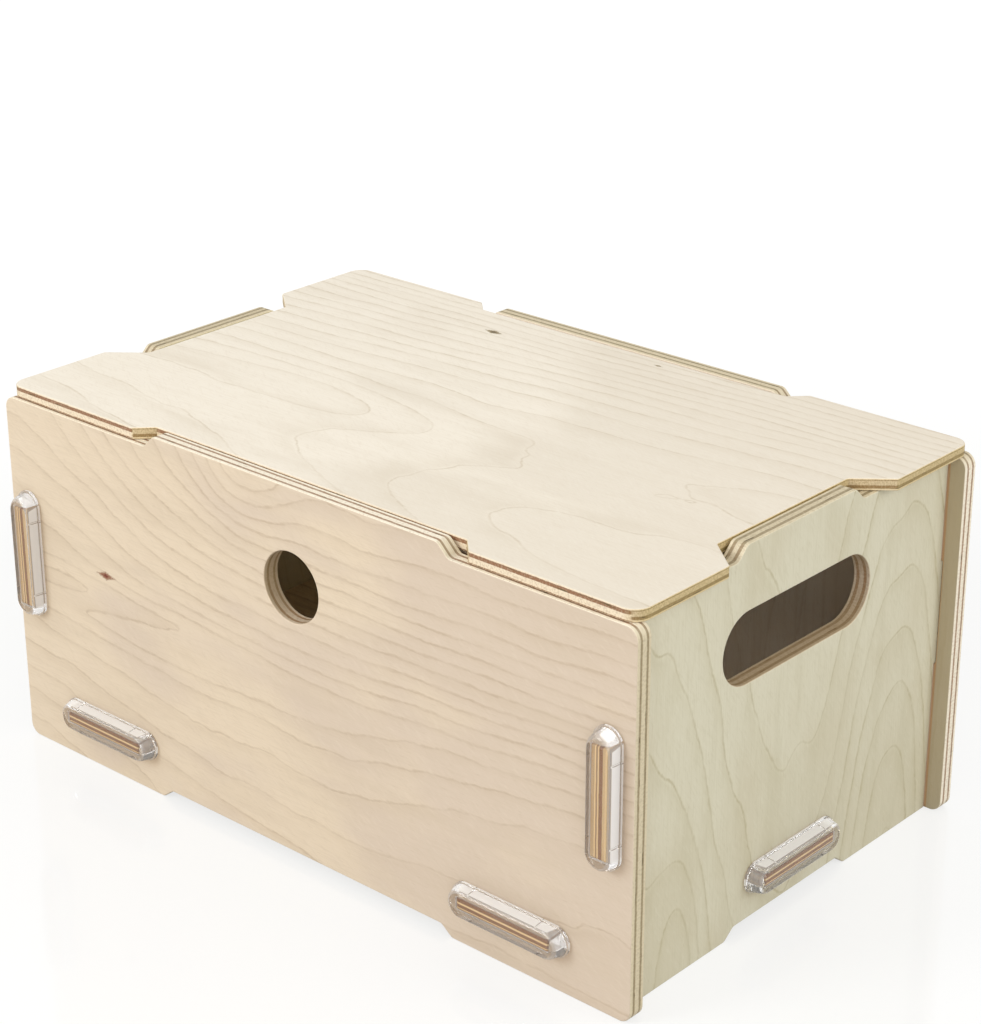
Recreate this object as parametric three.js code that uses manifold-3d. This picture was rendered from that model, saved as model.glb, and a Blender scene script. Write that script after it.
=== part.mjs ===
// Plywood kindling box with a lift-off notched lid.
// Four wall panels and a bottom panel lock together with tenons that pass through slots.
// A clear plastic cap is pushed over the end of each tenon.
// Units are millimetres. X runs along the box, Y runs to the back and Z is up.
// The origin is at the bottom centre of the box.

import * as THREE from 'three';
import { mergeVertices } from 'three/addons/utils/BufferGeometryUtils.js';
import Module from 'manifold-3d';

const wasm = await Module();
wasm.setup();

// Carcass.
const BOX_LENGTH = 400;
const BOX_DEPTH = 250;
const RIM_HEIGHT = 187;
const WALL_PLY = 9;
const BOTTOM_PLY = 6;
const BOTTOM_TOP_HEIGHT = 28.6;
const END_PANEL_INSET = 9;
const PANEL_CORNER_RADIUS = 6;
const EDGE_EASE = 0.5;

// Gap left between pieces that touch.
const CONTACT_GAP = 0.3;

// Low rim at each end of a wall, from the box's corner, and the slope up to the raised middle.
// The feet under the wall mirror the rim.
const LONG_RIM_LENGTH = 103;
const END_RIM_LENGTH = 78.5;
const SHOULDER_RUN = 6.5;
const FOOT_HEIGHT = 5;
const SHOULDER_RADIUS = 4;
const SHOULDER_TIP_RADIUS = 3;

// Openings for the hands.
const GRIP_DROP = 43;
const FINGER_HOLE_DIAMETER = 35;
const HAND_SLOT_LENGTH = 110;
const HAND_SLOT_WIDTH = 35;

// Tenons and the slots that they pass through.
const TENON_LENGTH = 54;
const TENON_PROUD = 6;
const END_TENON_HEIGHT = 106;
const BOTTOM_TENON_MARGIN = 49;
const SLOT_CORNER_RADIUS = 1.5;

// Clear caps over the tenon ends.
const CAP_SIDE_WALL = 3;
const CAP_END_WALL = 6.7;
const CAP_ROOF = 2;
const CAP_SKIRT_HEIGHT = 1.5;
const CAP_TOP_CHAMFER = 1.6;
const CAP_SHOULDER_SIDE_INSET = 1;
const CAP_SHOULDER_END_INSET = 2.4;
const CAP_TOP_SIDE_INSET = 1.9;
const CAP_TOP_END_INSET = 4.6;
const CAP_ROUND_STEPS = 10;
const SNAP_GROOVE_MARGIN = 7.5;
const SNAP_GROOVE_WIDTH = 1.2;
const SNAP_GROOVE_DEPTH = 0.5;

// Lid: a notched top board with a smaller locating board glued under it.
const LID_PLY = 6;
const LOCATING_PLY = 4;
const LID_INSET = 2;
const LID_CORNER_RADIUS = 8;
const LID_NOTCH_CLEARANCE = 1.5;
const LID_NOTCH_SIDE_CLEARANCE = 1.5;
const LONG_NOTCH_FLARE = 8.5;
const END_NOTCH_FLARE = 14.5;
const NOTCH_FILLET = 2;
const LOCATING_SETBACK = 2;
const LOCATING_CORNER_RADIUS = 10;

// Places that follow from the sizes above.
const LONG_FACE_Y = BOX_DEPTH / 2;
const LONG_INNER_Y = LONG_FACE_Y - WALL_PLY;
const END_FACE_X = BOX_LENGTH / 2 - END_PANEL_INSET;
const END_INNER_X = END_FACE_X - WALL_PLY;
const END_MIDDLE_X = END_FACE_X - WALL_PLY / 2;
const BOTTOM_UNDERSIDE = BOTTOM_TOP_HEIGHT - BOTTOM_PLY;
const BOTTOM_MIDDLE_Z = BOTTOM_TOP_HEIGHT - BOTTOM_PLY / 2;
const BOTTOM_TENON_OFFSET = END_INNER_X - BOTTOM_TENON_MARGIN;
const GRIP_HEIGHT = RIM_HEIGHT - GRIP_DROP;
const LONG_RAISED_BASE = BOX_LENGTH / 2 - LONG_RIM_LENGTH;
const LONG_RAISED_TOP = LONG_RAISED_BASE - SHOULDER_RUN;
const END_RAISED_BASE = LONG_FACE_Y - END_RIM_LENGTH;
const END_RAISED_TOP = END_RAISED_BASE - SHOULDER_RUN;
const LID_SEAT_Z = RIM_HEIGHT + CONTACT_GAP;
const RAISED_HEIGHT = LID_SEAT_Z + LID_PLY;
const CAP_LENGTH = TENON_LENGTH + 2 * (CONTACT_GAP + CAP_END_WALL);
const CAP_WIDTH = WALL_PLY + 2 * (CONTACT_GAP + CAP_SIDE_WALL);
const CAP_HEIGHT = TENON_PROUD + CAP_ROOF;
const SNAP_GROOVE_OFFSET = TENON_LENGTH / 2 - SNAP_GROOVE_MARGIN;

// Inner edges of the lid's notches, which pass just inside the raised walls.
const NOTCH_X = END_INNER_X - LID_NOTCH_CLEARANCE;
const NOTCH_Y = LONG_INNER_Y - LID_NOTCH_CLEARANCE;

// How far a drawn curve may stray from the true one.
const ARC_TOLERANCE = 0.05;

const birchFace = () => new THREE.MeshStandardMaterial({
  color: 0xdfccb0,
  roughness: 0.62,
  metalness: 0,
});
const birchThin = () => new THREE.MeshStandardMaterial({
  color: 0xe6d9c3,
  roughness: 0.6,
  metalness: 0,
});
const clearPlastic = () => new THREE.MeshStandardMaterial({
  color: 0xe4e6e6,
  roughness: 0.08,
  metalness: 0,
  transparent: true,
  opacity: 0.35,
});

// Points along an arc, close enough together to stay within the tolerance of the true curve.
function arcPoints(centre, radius, startAngle, sweep) {
  const finestStep = 2 * Math.acos(1 - ARC_TOLERANCE / radius);
  const steps = Math.ceil(Math.abs(sweep) / finestStep);
  const points = [];
  for (let step = 0; step <= steps; step += 1) {
    const angle = startAngle + (sweep * step) / steps;
    const x = centre.x + radius * Math.cos(angle);
    const y = centre.y + radius * Math.sin(angle);
    points.push(new THREE.Vector2(x, y));
  }
  return points;
}

// Points of a closed outline through corners [x, y, radius], each rounded to its radius.
function roundedOutline(corners) {
  const count = corners.length;
  return corners.flatMap(([x, y, radius], index) => {
    const corner = new THREE.Vector2(x, y);
    if (radius === 0) {
      return [corner];
    }
    const before = corners[(index + count - 1) % count];
    const after = corners[(index + 1) % count];
    const back = new THREE.Vector2(before[0], before[1]).sub(corner).normalize();
    const ahead = new THREE.Vector2(after[0], after[1]).sub(corner).normalize();
    const halfAngle = Math.acos(back.dot(ahead)) / 2;
    const centre = back.clone().add(ahead).normalize();
    centre.multiplyScalar(radius / Math.sin(halfAngle)).add(corner);
    const turn = back.cross(ahead) > 0 ? -1 : 1;
    const sweep = turn * (Math.PI - 2 * halfAngle);
    const start = corner.clone().addScaledVector(back, radius / Math.tan(halfAngle)).sub(centre);
    return arcPoints(centre, radius, start.angle(), sweep);
  });
}

// Repeats the right half of an outline, listed from bottom to top, on the left.
function mirrored(rightHalf) {
  const leftHalf = rightHalf.map(([x, y, radius]) => [-x, y, radius]).reverse();
  return [...rightHalf, ...leftHalf];
}

function roundedRectangle(centreX, centreY, width, height, radius) {
  const halfWidth = width / 2;
  const halfHeight = height / 2;
  return roundedOutline([
    [centreX - halfWidth, centreY - halfHeight, radius],
    [centreX + halfWidth, centreY - halfHeight, radius],
    [centreX + halfWidth, centreY + halfHeight, radius],
    [centreX - halfWidth, centreY + halfHeight, radius],
  ]);
}

// A slot shape with half-round ends.
function stadium(centreY, length, width) {
  const radius = width / 2;
  const straight = (length - width) / 2;
  const right = new THREE.Vector2(straight, centreY);
  const left = new THREE.Vector2(-straight, centreY);
  return [
    ...arcPoints(right, radius, -Math.PI / 2, Math.PI),
    ...arcPoints(left, radius, Math.PI / 2, Math.PI),
  ];
}

function circle(centreY, diameter) {
  const points = arcPoints(new THREE.Vector2(0, centreY), diameter / 2, 0, 2 * Math.PI);
  return points.slice(0, -1);
}

// A slot is the tenon's section with the contact gap all round.
function tenonSlot(centreX, centreY, alongX, ply) {
  const long = TENON_LENGTH + 2 * CONTACT_GAP;
  const short = ply + 2 * CONTACT_GAP;
  const width = alongX ? long : short;
  const height = alongX ? short : long;
  return roundedRectangle(centreX, centreY, width, height, SLOT_CORNER_RADIUS);
}

// Cuts a flat panel with eased edges from its outline. It lies on Z = 0 and is ply thick.
function cutPanel(outline, holes, ply) {
  const shape = new THREE.Shape(outline);
  holes.forEach((hole) => shape.holes.push(new THREE.Path(hole)));
  return new THREE.ExtrudeGeometry(shape, {
    depth: ply - 2 * EDGE_EASE,
    bevelEnabled: true,
    bevelThickness: EDGE_EASE,
    bevelSize: EDGE_EASE,
    bevelOffset: -EDGE_EASE,
    bevelSegments: 1,
  }).translate(0, 0, EDGE_EASE);
}

// Front and back panels: feet at the ends, a raised middle, a finger hole and four slots.
function longPanelGeometry() {
  const halfLength = BOX_LENGTH / 2;
  const outline = mirrored([
    [LONG_RAISED_TOP, FOOT_HEIGHT, SHOULDER_TIP_RADIUS],
    [LONG_RAISED_BASE, 0, SHOULDER_TIP_RADIUS],
    [halfLength, 0, PANEL_CORNER_RADIUS],
    [halfLength, RIM_HEIGHT, PANEL_CORNER_RADIUS],
    [LONG_RAISED_BASE, RIM_HEIGHT, SHOULDER_RADIUS],
    [LONG_RAISED_TOP, RAISED_HEIGHT, SHOULDER_RADIUS],
  ]);
  const holes = [circle(GRIP_HEIGHT, FINGER_HOLE_DIAMETER)];
  for (const side of [-1, 1]) {
    holes.push(tenonSlot(side * END_MIDDLE_X, END_TENON_HEIGHT, false, WALL_PLY));
    holes.push(tenonSlot(side * BOTTOM_TENON_OFFSET, BOTTOM_MIDDLE_Z, true, BOTTOM_PLY));
  }
  return cutPanel(roundedOutline(outline), holes, WALL_PLY);
}

// End panels: they stand between the long panels and reach through them with a tenon a side.
function endPanelGeometry() {
  const halfBody = LONG_INNER_Y - CONTACT_GAP;
  const tenonTip = LONG_FACE_Y + TENON_PROUD;
  const tenonLow = END_TENON_HEIGHT - TENON_LENGTH / 2;
  const tenonHigh = END_TENON_HEIGHT + TENON_LENGTH / 2;
  const outline = mirrored([
    [END_RAISED_TOP, FOOT_HEIGHT, SHOULDER_TIP_RADIUS],
    [END_RAISED_BASE, 0, SHOULDER_TIP_RADIUS],
    [halfBody, 0, 0],
    [halfBody, tenonLow, 0],
    [tenonTip, tenonLow, SLOT_CORNER_RADIUS],
    [tenonTip, tenonHigh, SLOT_CORNER_RADIUS],
    [halfBody, tenonHigh, 0],
    [halfBody, RIM_HEIGHT, 0],
    [END_RAISED_BASE, RIM_HEIGHT, SHOULDER_RADIUS],
    [END_RAISED_TOP, RAISED_HEIGHT, SHOULDER_RADIUS],
  ]);
  const holes = [
    stadium(GRIP_HEIGHT, HAND_SLOT_LENGTH, HAND_SLOT_WIDTH),
    tenonSlot(0, BOTTOM_MIDDLE_Z, true, BOTTOM_PLY),
  ];
  return cutPanel(roundedOutline(outline), holes, WALL_PLY);
}

// Bottom panel: two tenons through each long panel and one through each end panel.
function bottomPanelGeometry() {
  const halfX = END_INNER_X - CONTACT_GAP;
  const halfY = LONG_INNER_Y - CONTACT_GAP;
  const tipX = END_FACE_X + TENON_PROUD;
  const tipY = LONG_FACE_Y + TENON_PROUD;
  const halfTenon = TENON_LENGTH / 2;
  const near = BOTTOM_TENON_OFFSET - halfTenon;
  const far = BOTTOM_TENON_OFFSET + halfTenon;
  const outline = mirrored([
    [near, -halfY, 0],
    [near, -tipY, SLOT_CORNER_RADIUS],
    [far, -tipY, SLOT_CORNER_RADIUS],
    [far, -halfY, 0],
    [halfX, -halfY, 0],
    [halfX, -halfTenon, 0],
    [tipX, -halfTenon, SLOT_CORNER_RADIUS],
    [tipX, halfTenon, SLOT_CORNER_RADIUS],
    [halfX, halfTenon, 0],
    [halfX, halfY, 0],
    [far, halfY, 0],
    [far, tipY, SLOT_CORNER_RADIUS],
    [near, tipY, SLOT_CORNER_RADIUS],
    [near, halfY, 0],
  ]);
  return cutPanel(roundedOutline(outline), [], BOTTOM_PLY);
}

// Top board: rounded corners and one flared notch on each side for the raised walls.
function lidTopGeometry() {
  const edgeX = BOX_LENGTH / 2 - LID_INSET;
  const edgeY = LONG_FACE_Y - LID_INSET;
  const longNotch = LONG_RAISED_BASE + LID_NOTCH_SIDE_CLEARANCE;
  const endNotch = END_RAISED_BASE + LID_NOTCH_SIDE_CLEARANCE;
  const outline = mirrored([
    [longNotch, -NOTCH_Y, NOTCH_FILLET],
    [longNotch + LONG_NOTCH_FLARE, -edgeY, NOTCH_FILLET],
    [edgeX, -edgeY, LID_CORNER_RADIUS],
    [edgeX, -(endNotch + END_NOTCH_FLARE), NOTCH_FILLET],
    [NOTCH_X, -endNotch, NOTCH_FILLET],
    [NOTCH_X, endNotch, NOTCH_FILLET],
    [edgeX, endNotch + END_NOTCH_FLARE, NOTCH_FILLET],
    [edgeX, edgeY, LID_CORNER_RADIUS],
    [longNotch + LONG_NOTCH_FLARE, edgeY, NOTCH_FILLET],
    [longNotch, NOTCH_Y, NOTCH_FILLET],
  ]);
  return cutPanel(roundedOutline(outline), [], LID_PLY);
}

function lidLocatingGeometry() {
  const width = 2 * (NOTCH_X - LOCATING_SETBACK);
  const height = 2 * (NOTCH_Y - LOCATING_SETBACK);
  const outline = roundedRectangle(0, 0, width, height, LOCATING_CORNER_RADIUS);
  return cutPanel(outline, [], LOCATING_PLY);
}

// Points of one level of a cap: a slot shape with half-round ends.
function capLevel(sideInset, endInset, height) {
  const radius = CAP_WIDTH / 2 - sideInset;
  const straight = CAP_LENGTH / 2 - endInset - radius;
  const points = [];
  for (const side of [1, -1]) {
    for (let step = 0; step <= CAP_ROUND_STEPS; step += 1) {
      const angle = (side > 0 ? -0.5 : 0.5) * Math.PI + (Math.PI * step) / CAP_ROUND_STEPS;
      const x = side * straight + radius * Math.cos(angle);
      points.push([x, radius * Math.sin(angle), height]);
    }
  }
  return points;
}

// Skins a closed body over levels that all have the same number of points.
function loft(levels) {
  const count = levels[0].length;
  const positions = levels.flat(2);
  const bottomCentre = positions.length / 3;
  positions.push(0, 0, levels[0][0][2]);
  positions.push(0, 0, levels[levels.length - 1][0][2]);
  const indices = [];
  for (let level = 0; level < levels.length - 1; level += 1) {
    for (let point = 0; point < count; point += 1) {
      const next = (point + 1) % count;
      const low = level * count;
      const high = low + count;
      indices.push(low + point, low + next, high + next);
      indices.push(low + point, high + next, high + point);
    }
  }
  const topRing = (levels.length - 1) * count;
  for (let point = 0; point < count; point += 1) {
    const next = (point + 1) % count;
    indices.push(bottomCentre, next, point);
    indices.push(bottomCentre + 1, topRing + point, topRing + next);
  }
  const geometry = new THREE.BufferGeometry();
  geometry.setAttribute('position', new THREE.Float32BufferAttribute(positions, 3));
  geometry.setIndex(indices);
  return geometry;
}

function toManifold(source) {
  const geometry = source.clone();
  geometry.deleteAttribute('normal');
  geometry.deleteAttribute('uv');
  const merged = mergeVertices(geometry, 1e-4);
  return new wasm.Manifold(new wasm.Mesh({
    numProp: 3,
    vertProperties: new Float32Array(merged.attributes.position.array),
    triVerts: new Uint32Array(merged.index.array),
  }));
}

function fromManifold(body) {
  const mesh = body.getMesh();
  const geometry = new THREE.BufferGeometry();
  geometry.setAttribute('position', new THREE.BufferAttribute(mesh.vertProperties, 3));
  geometry.setIndex(new THREE.BufferAttribute(mesh.triVerts, 1));
  geometry.computeVertexNormals();
  return geometry;
}

// One cap, standing on Z = 0 with its long side along X, with a pocket for a tenon ply thick.
function capGeometry(ply) {
  let body = toManifold(loft([
    capLevel(0, 0, 0),
    capLevel(0, 0, CAP_SKIRT_HEIGHT),
    capLevel(CAP_SHOULDER_SIDE_INSET, CAP_SHOULDER_END_INSET, CAP_HEIGHT - CAP_TOP_CHAMFER),
    capLevel(CAP_TOP_SIDE_INSET, CAP_TOP_END_INSET, CAP_HEIGHT),
  ]));
  // The cap stands a contact gap off the wall, so a pocket as deep as the tenon is proud
  // leaves the same gap over its tip.
  const pocket = new THREE.BoxGeometry(
    TENON_LENGTH + 2 * CONTACT_GAP,
    ply + 2 * CONTACT_GAP,
    2 * TENON_PROUD,
  );
  body = body.subtract(toManifold(pocket));
  for (const along of [-SNAP_GROOVE_OFFSET, SNAP_GROOVE_OFFSET]) {
    for (const side of [-1, 1]) {
      const groove = new THREE.BoxGeometry(
        SNAP_GROOVE_WIDTH,
        2 * SNAP_GROOVE_DEPTH,
        2 * CAP_SKIRT_HEIGHT,
      );
      groove.translate(along, (side * CAP_WIDTH) / 2, 0);
      body = body.subtract(toManifold(groove));
    }
  }
  return fromManifold(body);
}

function addPiece(parent, name, geometry, material) {
  const mesh = new THREE.Mesh(geometry, material);
  mesh.name = name;
  parent.add(mesh);
  return mesh;
}

const kindlingBox = new THREE.Group();
kindlingBox.name = 'kindling_box';

// Each long panel is drawn in X and Z and its thickness runs inwards from its outer face.
const frontPanel = addPiece(kindlingBox, 'front_panel', longPanelGeometry(), birchFace());
frontPanel.rotation.x = Math.PI / 2;
frontPanel.position.y = -LONG_INNER_Y;
const backPanel = addPiece(kindlingBox, 'back_panel', longPanelGeometry(), birchFace());
backPanel.rotation.x = Math.PI / 2;
backPanel.position.y = LONG_FACE_Y;

// The end panels are drawn the same way in groups that are turned a quarter turn.
for (const [name, faceX] of [['left_end_panel', -END_FACE_X], ['right_end_panel', END_INNER_X]]) {
  const turned = new THREE.Group();
  turned.rotation.z = Math.PI / 2;
  turned.position.x = faceX;
  kindlingBox.add(turned);
  addPiece(turned, name, endPanelGeometry(), birchFace()).rotation.x = Math.PI / 2;
}

const bottomPanel = addPiece(kindlingBox, 'bottom_panel', bottomPanelGeometry(), birchThin());
bottomPanel.position.z = BOTTOM_UNDERSIDE;

// The seated lid rests on the low rims at the four corners.
const lid = new THREE.Group();
lid.name = 'lid';
lid.position.z = LID_SEAT_Z;
kindlingBox.add(lid);
addPiece(lid, 'lid_top_board', lidTopGeometry(), birchThin());
const locatingBoard = addPiece(lid, 'lid_locating_board', lidLocatingGeometry(), birchThin());
locatingBoard.position.z = -(LOCATING_PLY + CONTACT_GAP);

// Adds a cap on a wall. The wall's group is turned so that its outer face looks along -Y.
function addCap(wall, name, ply, distance, along, height, upright) {
  const cap = addPiece(wall, name, capGeometry(ply), clearPlastic());
  cap.rotation.set(Math.PI / 2, 0, upright ? Math.PI / 2 : 0);
  cap.position.set(along, -(distance + CONTACT_GAP), height);
}

const longWalls = [['front', 0], ['back', Math.PI]];
for (const [wallName, turn] of longWalls) {
  const wall = new THREE.Group();
  wall.rotation.z = turn;
  kindlingBox.add(wall);
  for (const side of [-1, 1]) {
    const isLeft = (turn === 0) === (side < 0);
    const sideName = isLeft ? 'left' : 'right';
    const uprightName = `${wallName}_${sideName}_upright_cap`;
    const bottomName = `${wallName}_${sideName}_bottom_cap`;
    const uprightX = side * END_MIDDLE_X;
    const bottomX = side * BOTTOM_TENON_OFFSET;
    addCap(wall, uprightName, WALL_PLY, LONG_FACE_Y, uprightX, END_TENON_HEIGHT, true);
    addCap(wall, bottomName, BOTTOM_PLY, LONG_FACE_Y, bottomX, BOTTOM_MIDDLE_Z, false);
  }
}

const endWalls = [['right', Math.PI / 2], ['left', -Math.PI / 2]];
for (const [wallName, turn] of endWalls) {
  const wall = new THREE.Group();
  wall.rotation.z = turn;
  kindlingBox.add(wall);
  addCap(wall, `${wallName}_end_cap`, BOTTOM_PLY, END_FACE_X, 0, BOTTOM_MIDDLE_Z, false);
}

export default kindlingBox;
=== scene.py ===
"""Looks of a plywood kindling box with a lift-off lid and clear tenon caps.

Lengths are in millimetres, as in the part's source, and meshes are scaled to metres as they are made.
X runs along the box, Y runs to the back and Z is up.
"""

import math

import bmesh
import bpy
from mathutils import Matrix, Vector


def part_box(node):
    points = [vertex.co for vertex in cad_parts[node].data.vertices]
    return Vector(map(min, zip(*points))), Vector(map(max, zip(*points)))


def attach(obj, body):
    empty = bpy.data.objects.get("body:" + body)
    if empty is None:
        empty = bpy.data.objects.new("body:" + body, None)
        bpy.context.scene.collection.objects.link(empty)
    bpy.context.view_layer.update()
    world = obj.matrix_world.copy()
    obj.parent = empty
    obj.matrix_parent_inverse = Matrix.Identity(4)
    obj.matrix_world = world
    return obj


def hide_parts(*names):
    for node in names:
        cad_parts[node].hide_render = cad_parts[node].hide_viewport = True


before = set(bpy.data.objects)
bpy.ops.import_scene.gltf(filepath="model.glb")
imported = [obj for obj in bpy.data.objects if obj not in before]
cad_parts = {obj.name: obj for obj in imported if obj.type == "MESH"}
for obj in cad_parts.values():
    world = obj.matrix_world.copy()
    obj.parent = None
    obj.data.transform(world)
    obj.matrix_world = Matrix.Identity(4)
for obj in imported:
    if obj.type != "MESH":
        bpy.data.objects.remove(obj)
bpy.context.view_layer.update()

MM = 0.001

# Shapes that the panels and the lid share.
EASE_RADIUS = 0.6
EASE_STEPS = 3
ARC_STEP = math.radians(7.5)
SHARP_ANGLE = math.radians(35)
PANEL_CORNER_RADIUS = 6
CONTACT_GAP = 0.3

# Low rims, raised middles and feet of the walls.
RIM_HEIGHT = 187
LONG_RAISED_BASE = 97
END_RAISED_BASE = 46.5
SHOULDER_RUN = 6.5
FOOT_HEIGHT = 5
SHOULDER_RADIUS = 4
SHOULDER_TIP_RADIUS = 3

# Openings for the hands.
GRIP_HEIGHT = 144
FINGER_HOLE_DIAMETER = 35
HAND_SLOT_LENGTH = 110
HAND_SLOT_WIDTH = 35

# Tenons and their slots.
TENON_LENGTH = 54
END_TENON_HEIGHT = 106
BOTTOM_TENON_OFFSET = 133
SLOT_CORNER_RADIUS = 1.5

# Lid.
LID_CORNER_RADIUS = 8
LID_NOTCH_CLEARANCE = 1.5
LONG_NOTCH_FLARE = 8.5
END_NOTCH_FLARE = 14.5
NOTCH_FILLET = 2
LOCATING_CORNER_RADIUS = 10

# The camera stands where it stood for the photograph.
PICTURE_HEIGHT = 1024
FOCAL_LENGTH_PIXELS = 2558.8
SENSOR_SIZE = 36
CAMERA_PLACE = Vector((767.3, -844.3, 630.7))
CAMERA_YAW = 0.7317
CAMERA_PITCH = -0.4055
CAMERA_ROLL = -0.0031


def node_span(node):
    """The low and high corners of a CAD node, in millimetres."""
    low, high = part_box(node)
    return low / MM, high / MM


front_low, front_high = node_span("front_panel")
back_low, back_high = node_span("back_panel")
right_low, right_high = node_span("right_end_panel")
left_low, left_high = node_span("left_end_panel")
bottom_low, bottom_high = node_span("bottom_panel")
lid_low, lid_high = node_span("lid_top_board")
locating_low, locating_high = node_span("lid_locating_board")

WALL_PLY = front_high.y - front_low.y
BOTTOM_PLY = bottom_high.z - bottom_low.z
LID_PLY = lid_high.z - lid_low.z
LOCATING_PLY = locating_high.z - locating_low.z
HALF_LENGTH = front_high.x
HALF_DEPTH = back_high.y
RAISED_HEIGHT = front_high.z
LONG_INNER_Y = back_low.y
END_FACE_X = right_high.x
END_INNER_X = right_low.x
END_MIDDLE_X = (END_INNER_X + END_FACE_X) / 2
BOTTOM_MIDDLE_Z = (bottom_low.z + bottom_high.z) / 2
LONG_TIP_REACH = HALF_DEPTH + CONTACT_GAP
END_TIP_REACH = END_FACE_X + CONTACT_GAP


# Outlines


def arc_points(centre, radius, start, sweep):
    """Points along an arc, with both ends."""
    steps = max(2, math.ceil(abs(sweep) / ARC_STEP))
    angles = [start + sweep * step / steps for step in range(steps + 1)]
    return [centre + radius * Vector((math.cos(angle), math.sin(angle))) for angle in angles]


def rounded_outline(corners):
    """A closed outline through corners (x, y, radius), each rounded to its radius."""
    points = []
    for index, (x, y, radius) in enumerate(corners):
        corner = Vector((x, y))
        if radius == 0:
            points.append(corner)
            continue
        before = Vector(corners[index - 1][:2])
        after = Vector(corners[(index + 1) % len(corners)][:2])
        back = (before - corner).normalized()
        ahead = (after - corner).normalized()
        half_angle = math.acos(back.dot(ahead)) / 2
        centre = corner + (back + ahead).normalized() * radius / math.sin(half_angle)
        start = corner + back * radius / math.tan(half_angle) - centre
        turn = -1 if back.cross(ahead) > 0 else 1
        sweep = turn * (math.pi - 2 * half_angle)
        points += arc_points(centre, radius, math.atan2(start.y, start.x), sweep)
    return points


def mirrored(right_half):
    """Repeats the right half of an outline, listed from bottom to top, on the left."""
    return right_half + [(-x, y, radius) for x, y, radius in reversed(right_half)]


def rounded_rectangle(centre_x, centre_y, width, height, radius):
    left, right = centre_x - width / 2, centre_x + width / 2
    low, high = centre_y - height / 2, centre_y + height / 2
    return rounded_outline(
        [(left, low, radius), (right, low, radius), (right, high, radius), (left, high, radius)]
    )


def stadium(centre_y, length, width):
    """A slot shape with half-round ends."""
    radius = width / 2
    straight = (length - width) / 2
    right = arc_points(Vector((straight, centre_y)), radius, -math.pi / 2, math.pi)
    left = arc_points(Vector((-straight, centre_y)), radius, math.pi / 2, math.pi)
    return right + left


def circle(centre_y, diameter):
    return arc_points(Vector((0, centre_y)), diameter / 2, 0, 2 * math.pi)[:-1]


def tenon_slot(centre_x, centre_y, along_x, ply):
    long = TENON_LENGTH + 2 * CONTACT_GAP
    short = ply + 2 * CONTACT_GAP
    width, height = (long, short) if along_x else (short, long)
    return rounded_rectangle(centre_x, centre_y, width, height, SLOT_CORNER_RADIUS)


def long_panel_outline():
    top_x = LONG_RAISED_BASE - SHOULDER_RUN
    return rounded_outline(mirrored([
        (top_x, FOOT_HEIGHT, SHOULDER_TIP_RADIUS),
        (LONG_RAISED_BASE, 0, SHOULDER_TIP_RADIUS),
        (HALF_LENGTH, 0, PANEL_CORNER_RADIUS),
        (HALF_LENGTH, RIM_HEIGHT, PANEL_CORNER_RADIUS),
        (LONG_RAISED_BASE, RIM_HEIGHT, SHOULDER_RADIUS),
        (top_x, RAISED_HEIGHT, SHOULDER_RADIUS),
    ]))


def long_panel_holes():
    holes = [circle(GRIP_HEIGHT, FINGER_HOLE_DIAMETER)]
    for side in (-1, 1):
        holes.append(tenon_slot(side * END_MIDDLE_X, END_TENON_HEIGHT, False, WALL_PLY))
        holes.append(tenon_slot(side * BOTTOM_TENON_OFFSET, BOTTOM_MIDDLE_Z, True, BOTTOM_PLY))
    return holes


def end_panel_outline():
    half_body = LONG_INNER_Y - CONTACT_GAP
    tip = right_high.y
    low = END_TENON_HEIGHT - TENON_LENGTH / 2
    high = END_TENON_HEIGHT + TENON_LENGTH / 2
    top_y = END_RAISED_BASE - SHOULDER_RUN
    return rounded_outline(mirrored([
        (top_y, FOOT_HEIGHT, SHOULDER_TIP_RADIUS),
        (END_RAISED_BASE, 0, SHOULDER_TIP_RADIUS),
        (half_body, 0, 0),
        (half_body, low, 0),
        (tip, low, SLOT_CORNER_RADIUS),
        (tip, high, SLOT_CORNER_RADIUS),
        (half_body, high, 0),
        (half_body, RIM_HEIGHT, 0),
        (END_RAISED_BASE, RIM_HEIGHT, SHOULDER_RADIUS),
        (top_y, RAISED_HEIGHT, SHOULDER_RADIUS),
    ]))


def end_panel_holes():
    return [
        stadium(GRIP_HEIGHT, HAND_SLOT_LENGTH, HAND_SLOT_WIDTH),
        tenon_slot(0, BOTTOM_MIDDLE_Z, True, BOTTOM_PLY),
    ]


def bottom_panel_outline():
    half_x = END_INNER_X - CONTACT_GAP
    half_y = LONG_INNER_Y - CONTACT_GAP
    tip_x, tip_y = bottom_high.x, bottom_high.y
    half_tenon = TENON_LENGTH / 2
    near = BOTTOM_TENON_OFFSET - half_tenon
    far = BOTTOM_TENON_OFFSET + half_tenon
    return rounded_outline(mirrored([
        (near, -half_y, 0),
        (near, -tip_y, SLOT_CORNER_RADIUS),
        (far, -tip_y, SLOT_CORNER_RADIUS),
        (far, -half_y, 0),
        (half_x, -half_y, 0),
        (half_x, -half_tenon, 0),
        (tip_x, -half_tenon, SLOT_CORNER_RADIUS),
        (tip_x, half_tenon, SLOT_CORNER_RADIUS),
        (half_x, half_tenon, 0),
        (half_x, half_y, 0),
        (far, half_y, 0),
        (far, tip_y, SLOT_CORNER_RADIUS),
        (near, tip_y, SLOT_CORNER_RADIUS),
        (near, half_y, 0),
    ]))


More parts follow.
